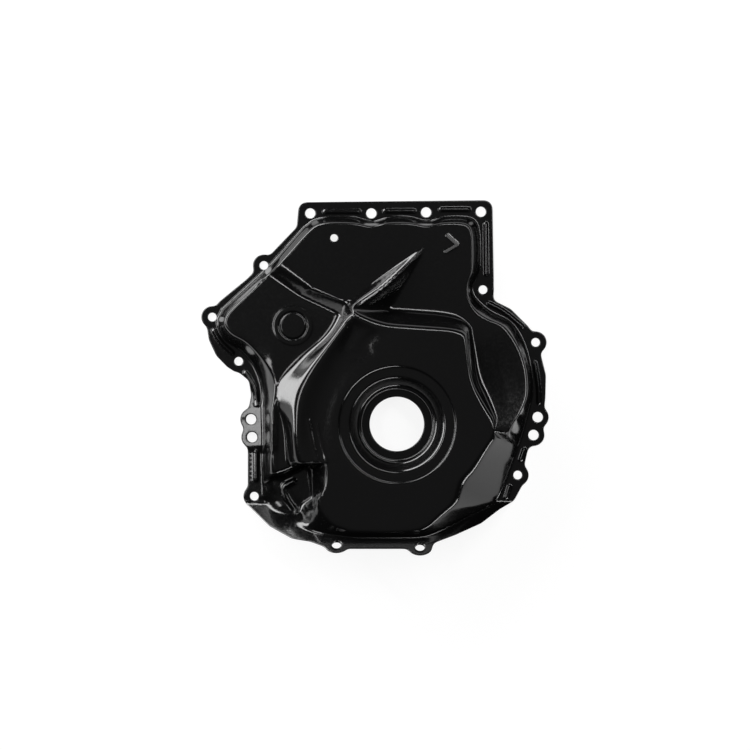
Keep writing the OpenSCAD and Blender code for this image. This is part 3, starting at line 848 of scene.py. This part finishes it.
def paint_material(name, paint, roughness, ripple_strength):
    """Black paint with a fine ripple and a slightly uneven gloss."""
    material = bpy.data.materials.new(name)
    material.use_nodes = True
    tree = material.node_tree
    shader = tree.nodes["Principled BSDF"]
    shader.inputs["Metallic"].default_value = 0.0
    shader.inputs["IOR"].default_value = 1.55
    place = node(tree, "ShaderNodeTexCoord", (-1100, 0))
    cloud = node(tree, "ShaderNodeTexNoise", (-850, 250), Scale=18.0, Detail=5.0, Roughness=0.55)
    dust = node(tree, "ShaderNodeTexNoise", (-850, 0), Scale=420.0, Detail=3.0)
    peel = node(tree, "ShaderNodeTexNoise", (-850, -250), Scale=520.0, Detail=2.0, Roughness=0.4)
    tint = node(tree, "ShaderNodeValToRGB", (-600, 250))
    tint.color_ramp.elements[0].color = (*[0.8 * v for v in paint], 1)
    tint.color_ramp.elements[1].color = (*[1.25 * v for v in paint], 1)
    gloss = node(tree, "ShaderNodeMapRange", (-600, 0))
    gloss.inputs["From Min"].default_value = 0.3
    gloss.inputs["From Max"].default_value = 0.7
    gloss.inputs["To Min"].default_value = roughness - 0.03
    gloss.inputs["To Max"].default_value = roughness + 0.05
    ripple = node(tree, "ShaderNodeBump", (-350, -250), Strength=ripple_strength, Distance=0.0002)
    link = tree.links.new
    for texture in (cloud, dust, peel):
        link(place.outputs["Object"], texture.inputs["Vector"])
    link(cloud.outputs["Fac"], tint.inputs["Fac"])
    link(dust.outputs["Fac"], gloss.inputs["Value"])
    link(peel.outputs["Fac"], ripple.inputs["Height"])
    link(tint.outputs["Color"], shader.inputs["Base Color"])
    link(gloss.outputs["Result"], shader.inputs["Roughness"])
    link(ripple.outputs["Normal"], shader.inputs["Normal"])
    return material


def stage_material(stage):
    """White floor that camera and mirror rays see at full white, less the object's shadow, with painted shade
    under the cover around its crank opening."""
    material = bpy.data.materials.new("white_floor")
    material.use_nodes = True
    tree = material.node_tree
    tree.nodes.clear()
    out = node(tree, "ShaderNodeOutputMaterial", (500, 0))
    path = node(tree, "ShaderNodeLightPath", (-700, 200))
    glow = node(tree, "ShaderNodeEmission", (-100, 150))
    glow.inputs["Color"].default_value = (*stage.floor_glow, 1)
    place = node(tree, "ShaderNodeTexCoord", (-1100, 450))
    apart = node(tree, "ShaderNodeVectorMath", (-900, 450))
    apart.operation = "DISTANCE"
    apart.inputs[1].default_value = (CRANK[0] / MM, CRANK[1] / MM, 0)
    # Painted shade: the floor's white is dimmed in a ring under the cover around the crank opening
    shade = ramp(tree, (-700, 450), PAINTED_UNDER_SHADE)
    tree.links.new(place.outputs["Object"], apart.inputs[0])
    tree.links.new(apart.outputs["Value"], shade.inputs["Fac"])
    tree.links.new(shade.outputs["Color"], glow.inputs["Strength"])
    matt = node(tree, "ShaderNodeBsdfDiffuse", (-100, -50))
    matt.inputs["Color"].default_value = (*stage.floor_matt, 1)
    plain = node(tree, "ShaderNodeBsdfDiffuse", (-100, -200))
    plain.inputs["Color"].default_value = (*stage.floor, 1)
    both = node(tree, "ShaderNodeAddShader", (120, 80))
    choice = node(tree, "ShaderNodeMixShader", (320, 0))
    seen = path.outputs["Is Camera Ray"]
    for name in ("Is Glossy Ray", "Is Transmission Ray"):
        either = node(tree, "ShaderNodeMath", (-400, 200))
        either.operation = "MAXIMUM"
        tree.links.new(seen, either.inputs[0])
        tree.links.new(path.outputs[name], either.inputs[1])
        seen = either.outputs[0]
    tree.links.new(glow.outputs[0], both.inputs[0])
    tree.links.new(matt.outputs[0], both.inputs[1])
    tree.links.new(seen, choice.inputs["Fac"])
    tree.links.new(plain.outputs[0], choice.inputs[1])
    tree.links.new(both.outputs[0], choice.inputs[2])
    tree.links.new(choice.outputs[0], out.inputs["Surface"])
    return material


def floor_mesh():
    """Round floor with a cove that rises at its edge."""
    count = 96
    rings = [(0.4, 0.0), (1.2, 0.0), (3.2, 0.0), (3.6, 0.02), (3.85, 0.08), (4.0, 0.2)]
    drop = -0.0003
    points = [(0.0, 0.0, drop)]
    for r, z in rings:
        points += [(r * math.cos(2 * math.pi * i / count), r * math.sin(2 * math.pi * i / count), z + drop)
                   for i in range(count)]
    faces = [(0, 1 + i, 1 + (i + 1) % count) for i in range(count)]
    for j in range(len(rings) - 1):
        a, b = 1 + j * count, 1 + (j + 1) * count
        faces += [(a + i, b + i, b + (i + 1) % count, a + (i + 1) % count) for i in range(count)]
    mesh = bpy.data.meshes.new("studio_floor")
    mesh.from_pydata(points, [], faces)
    mesh.shade_smooth()
    return mesh


def soft_light(name, place, target, width, height, power):
    """A rectangular soft light that faces a point."""
    light = bpy.data.lights.new(name, "AREA")
    light.shape = "RECTANGLE"
    light.size = width
    light.size_y = height
    light.energy = power
    lamp = bpy.data.objects.new(name, light)
    lamp.location = place
    way = np.array(target) - np.array(place)
    lamp.rotation_euler = (
        math.acos(-way[2] / np.linalg.norm(way)), 0, math.atan2(way[1], way[0]) - math.pi / 2)
    lamp.visible_camera = False
    bpy.context.scene.collection.objects.link(lamp)
    return lamp


def room_world(stage):
    """Dim room, brighter overhead than towards its walls."""
    world = bpy.data.worlds.new("dim_room")
    world.use_nodes = True
    tree = world.node_tree
    sky = tree.nodes["Background"]
    sky.inputs["Strength"].default_value = stage.world
    way = node(tree, "ShaderNodeTexCoord", (-800, 0))
    parts = node(tree, "ShaderNodeSeparateXYZ", (-600, 0))
    fade = ramp(tree, (-400, 0), ROOM_FADE)
    tree.links.new(way.outputs["Generated"], parts.inputs[0])
    tree.links.new(parts.outputs["Z"], fade.inputs["Fac"])
    tree.links.new(fade.outputs["Color"], sky.inputs["Color"])
    return world


class TIMINGCOVER_OT_cover(bpy.types.Operator):
    """Build the pressed cover and paint it"""

    bl_idname = "timing_cover.cover"
    bl_label = "Pressed cover"

    def execute(self, context):
        piece = bpy.data.objects.new("pressed_cover", cover_mesh(Sizes(context.scene.cover_form)))
        finish = context.scene.cover_finish
        looks = [
            ("black_paint", finish.paint, finish.roughness),
            ("rubbed_paint", finish.mark, finish.mark_roughness),
        ]
        for name, paint, roughness in looks:
            piece.data.materials.append(paint_material(name, paint, roughness, finish.peel))
        context.scene.collection.objects.link(piece)
        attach(piece, "root")
        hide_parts(NODE)
        return {"FINISHED"}


class TIMINGCOVER_OT_stage(bpy.types.Operator):
    """Set up the floor, the lights, the room and the camera"""

    bl_idname = "timing_cover.stage"
    bl_label = "Stage"

    def execute(self, context):
        scene = context.scene
        stage = scene.cover_stage
        floor = bpy.data.objects.new("studio_floor", floor_mesh())
        floor.data.materials.append(stage_material(stage))
        scene.collection.objects.link(floor)
        soft_light("left_soft_light", (-0.82, 0.64, 0.33), (0, 0, 0.33), 2.0, 0.4, stage.left_light)
        soft_light("over_soft_light", (-0.75, 0.2, 1.3), (0, 0, 0), 0.9, 0.26, stage.over_light)
        soft_light("top_strip_light", (0.56, 0.62, 1.1), (0, 0, 0), 1.4, 0.15, stage.top_light)
        soft_light("low_strip_light", (0.62, -1.02, 0.38), (0, 0, 0.38), 1.4, 0.15, stage.low_light)
        scene.world = room_world(stage)
        camera = bpy.data.cameras.new("camera")
        camera.sensor_fit = "HORIZONTAL"
        camera.angle = 2 * math.atan(stage.view_width / 2 / stage.camera_height)
        seen = bpy.data.objects.new("camera", camera)
        seen.location = (0, 0, stage.camera_height)
        scene.collection.objects.link(seen)
        scene.camera = seen
        scene.view_settings.view_transform = "Standard"
        return {"FINISHED"}


class TIMINGCOVER_PT_sidebar(bpy.types.Panel):
    """Buttons and sizes in the 3D view's sidebar"""

    bl_idname = "TIMINGCOVER_PT_sidebar"
    bl_label = "Timing Cover"
    bl_space_type = "VIEW_3D"
    bl_region_type = "UI"
    bl_category = "Timing Cover"

    def draw(self, context):
        for operator in (TIMINGCOVER_OT_cover, TIMINGCOVER_OT_stage):
            self.layout.operator(operator.bl_idname)
        for group in GROUPS:
            box = self.layout.box()
            owner = getattr(context.scene, group)
            for key in type(owner).__annotations__:
                box.prop(owner, key)


GROUPS = {"cover_form": CoverForm, "cover_finish": CoverFinish, "cover_stage": CoverStage}
CLASSES = (*GROUPS.values(), TIMINGCOVER_OT_cover, TIMINGCOVER_OT_stage, TIMINGCOVER_PT_sidebar)


def register():
    """Make the classes and the settings known to Blender."""
    for cls in CLASSES:
        bpy.utils.register_class(cls)
    for name, group in GROUPS.items():
        setattr(bpy.types.Scene, name, bpy.props.PointerProperty(type=group))


def unregister():
    """Take the classes and the settings out of Blender."""
    for name in GROUPS:
        delattr(bpy.types.Scene, name)
    for cls in reversed(CLASSES):
        bpy.utils.unregister_class(cls)


def main():
    """Build the stage and the cover."""
    register()
    bpy.ops.timing_cover.stage()
    bpy.ops.timing_cover.cover()
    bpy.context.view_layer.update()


if __name__ == "__main__":
    main()
